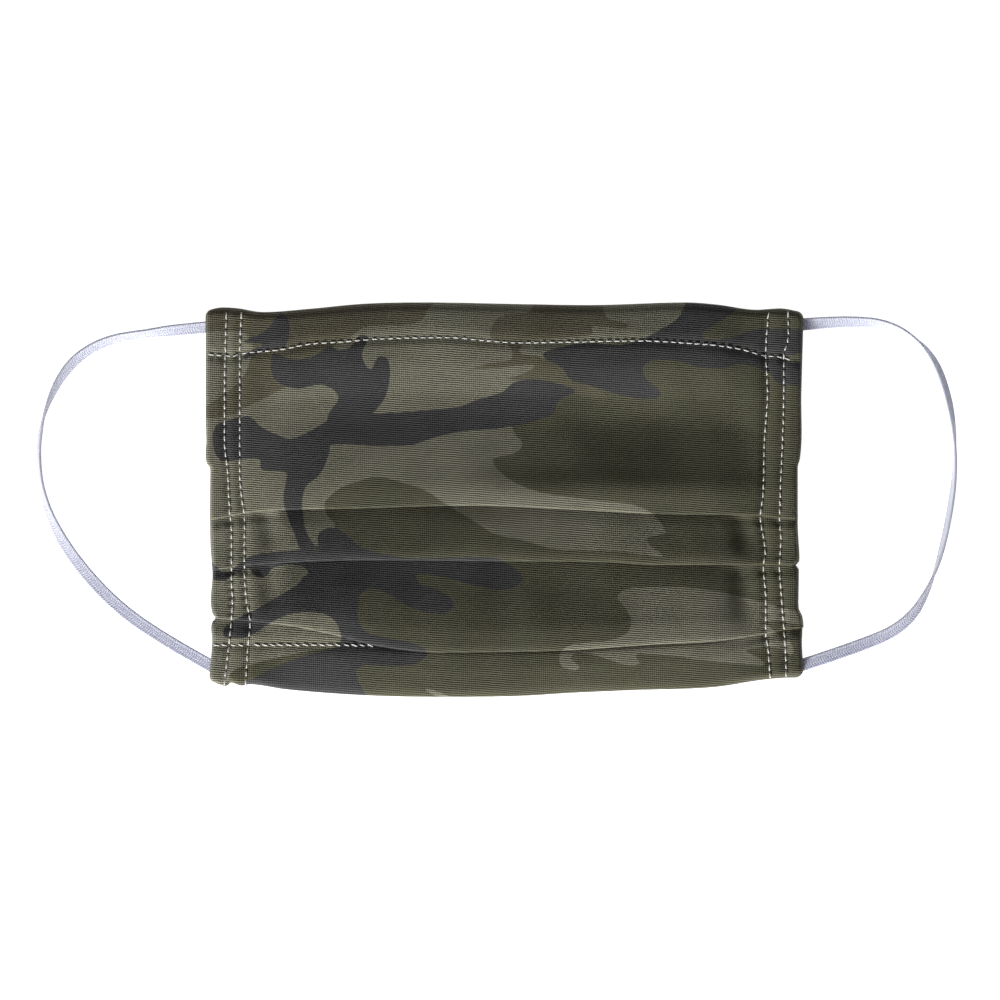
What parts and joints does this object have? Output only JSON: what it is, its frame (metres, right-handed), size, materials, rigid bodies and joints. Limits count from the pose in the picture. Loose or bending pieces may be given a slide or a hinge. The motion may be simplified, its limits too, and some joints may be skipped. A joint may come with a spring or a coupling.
{
  "type": "pleated face mask",
  "caption": "Pleated cloth face mask with turned hems, a nose wire and two flat elastic ear loops that swing at the side hems.",
  "frame": {"origin": "under the middle of the cloth body, on the surface that the mask lies on, lining down", "axes": "+X to the right of the printed face, +Y towards the nose edge, +Z out of the printed face"},
  "size_m": [0.2808, 0.1194, 0.0043],
  "materials": {
    "camo_cloth": "printed polyester cloth, fine ribbed weave, matt with a slight sheen",
    "lining_cloth": "plain dark cotton lining, matt",
    "thread": "white polyester sewing thread",
    "elastic": "white braided flat elastic",
    "nose_wire": "soft flat strip"
  },
  "bodies": {
    "mask_body": {"upper_panel_outer": "camo_cloth", "upper_panel_lining": "lining_cloth", "top_hem": "camo_cloth", "nose_wire": "nose_wire", "top_hem_stitching": "thread", "left_side_hem": "camo_cloth", "left_pleat_ends": "lining_cloth", "left_sewn_elastic": "elastic", "left_outer_stitching": "thread", "left_inner_stitching": "thread", "right_side_hem": "camo_cloth", "right_pleat_ends": "lining_cloth", "right_sewn_elastic": "elastic", "right_outer_stitching": "thread", "right_inner_stitching": "thread"},
    "first_pleat": {"first_pleat_outer": "camo_cloth", "first_pleat_lining": "lining_cloth"},
    "second_pleat": {"second_pleat_outer": "camo_cloth", "second_pleat_lining": "lining_cloth"},
    "chin_panel": {"chin_panel_outer": "camo_cloth", "chin_panel_lining": "lining_cloth", "chin_hem": "camo_cloth", "chin_hem_stitching": "thread"},
    "left_loop": {"left_ear_loop": "elastic"},
    "right_loop": {"right_ear_loop": "elastic"}
  },
  "joints": [
    {"name": "first_pleat_opening", "type": "slide", "parent": "mask_body", "child": "first_pleat", "axis": [0, -1, 0], "range_m": [0, 0.016]},
    {"name": "second_pleat_opening", "type": "slide", "parent": "mask_body", "child": "second_pleat", "axis": [0, -1, 0], "range_m": [0, 0.032]},
    {"name": "third_pleat_opening", "type": "slide", "parent": "mask_body", "child": "chin_panel", "axis": [0, -1, 0], "range_m": [0, 0.048]},
    {"name": "left_loop_swing", "type": "hinge", "parent": "mask_body", "child": "left_loop", "pos_m": [-0.0923, 0, 0.002], "axis": [0, 1, 0], "range_deg": [-90, 90]},
    {"name": "right_loop_swing", "type": "hinge", "parent": "mask_body", "child": "right_loop", "pos_m": [0.0923, 0, 0.002], "axis": [0, -1, 0], "range_deg": [-90, 90]}
  ],
  "couplings": [
    {"joint": "second_pleat_opening", "follows": "first_pleat_opening", "ratio": 2},
    {"joint": "third_pleat_opening", "follows": "first_pleat_opening", "ratio": 3}
  ]
}
